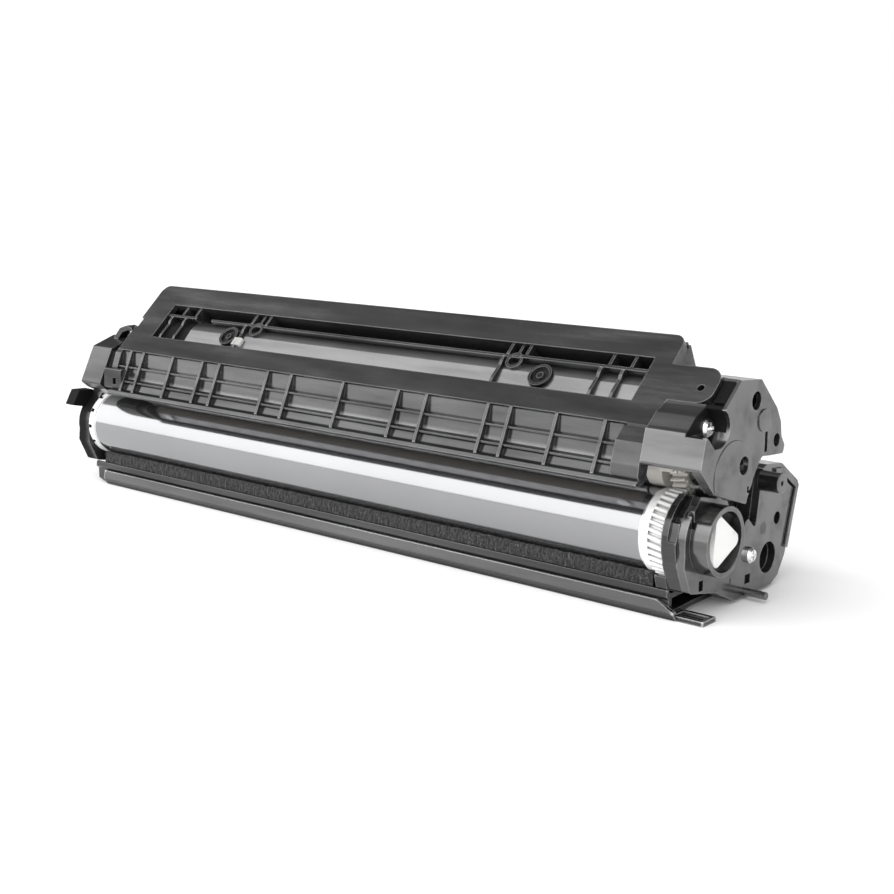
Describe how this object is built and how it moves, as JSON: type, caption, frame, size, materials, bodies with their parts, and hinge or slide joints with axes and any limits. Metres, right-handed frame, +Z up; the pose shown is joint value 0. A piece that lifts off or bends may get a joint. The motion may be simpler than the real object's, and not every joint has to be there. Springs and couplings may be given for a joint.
{
  "type": "toner cartridge",
  "caption": "Long printer cartridge with an exposed drum, a hinged toner hopper under a slanted windowed plate, and a geared drive end.",
  "frame": {"origin": "centre of the footprint, on the surface the cartridge rests on", "axes": "+X towards the drive end along the drum, +Y to the back, +Z up"},
  "size_m": [0.2898, 0.0734, 0.0777],
  "materials": {
    "black_shell": "satin moulded black",
    "drum_coat": "smooth glossy coat on a metal tube",
    "white_acetal": "white low-friction plastic",
    "steel": "bright zinc",
    "felt": "dense black felt",
    "urethane": "translucent amber urethane",
    "film": "thin clear film",
    "black_rubber": "smooth conductive rubber",
    "sleeve_metal": "bead-blasted sleeve",
    "beige_nylon": "natural nylon",
    "ferrite": "moulded magnet",
    "plug_plastic": "soft glossy black"
  },
  "bodies": {
    "drum_unit": {"drum_frame": "black_shell", "drive_bearing_plate": "black_shell", "plate_screw": "steel", "locating_pin": "steel", "hinge_pins": "black_shell", "drum_axle": "steel", "wiper_bracket": "steel", "wiper_blade": "urethane", "wiper_screws": "steel", "recovery_film": "film", "felt_strip": "felt", "guide_rail": "black_shell", "charge_saddles": "black_shell", "charge_springs": "steel", "bias_contacts": "steel"},
    "drum": {"drum_tube": "drum_coat", "drive_flange": "white_acetal", "contact_flange": "white_acetal"},
    "charge_roller": {"charge_shaft": "steel", "charge_rubber": "black_rubber"},
    "developer_unit": {"hopper_frame": "black_shell", "toner_hopper": "black_shell", "end_plate": "black_shell", "drive_end_cover": "black_shell", "cover_screw": "steel", "contact_end_cap": "black_shell", "carry_strap": "black_shell", "doctor_bracket": "steel", "doctor_blade": "urethane", "doctor_screws": "steel", "fill_plugs": "plug_plastic", "magnet_core": "ferrite", "idler_stud": "steel"},
    "developer_roller": {"roller_sleeve": "sleeve_metal", "spacer_rings": "beige_nylon", "developer_gear": "white_acetal"},
    "idler": {"idler_gear": "white_acetal"},
    "agitator": {"agitator_shaft": "white_acetal", "agitator_film": "film", "agitator_gear": "white_acetal"}
  },
  "joints": [
    {"name": "drum_spin", "type": "hinge", "parent": "drum_unit", "child": "drum", "pos_m": [-0.00065, -0.01544, 0.023], "axis": [1, 0, 0], "continuous": true},
    {"name": "charge_spin", "type": "hinge", "parent": "drum_unit", "child": "charge_roller", "pos_m": [-0.00065, -0.00119, 0.03122], "axis": [1, 0, 0], "continuous": true},
    {"name": "developer_swing", "type": "hinge", "parent": "drum_unit", "child": "developer_unit", "pos_m": [-0.00065, 0.01596, 0.0198], "axis": [-1, 0, 0], "range_deg": [0, 4]},
    {"name": "roller_spin", "type": "hinge", "parent": "developer_unit", "child": "developer_roller", "pos_m": [-0.00065, -0.01078, 0.04041], "axis": [1, 0, 0], "continuous": true},
    {"name": "idler_spin", "type": "hinge", "parent": "developer_unit", "child": "idler", "pos_m": [-0.00065, -0.0198, 0.04816], "axis": [1, 0, 0], "continuous": true},
    {"name": "agitator_spin", "type": "hinge", "parent": "developer_unit", "child": "agitator", "pos_m": [-0.00065, -0.00844, 0.055], "axis": [1, 0, 0], "continuous": true}
  ],
  "couplings": [
    {"joint": "charge_spin", "follows": "drum_spin", "ratio": -2.7273},
    {"joint": "roller_spin", "follows": "drum_spin", "ratio": -2.1176},
    {"joint": "idler_spin", "follows": "drum_spin", "ratio": 2},
    {"joint": "agitator_spin", "follows": "drum_spin", "ratio": -1}
  ]
}
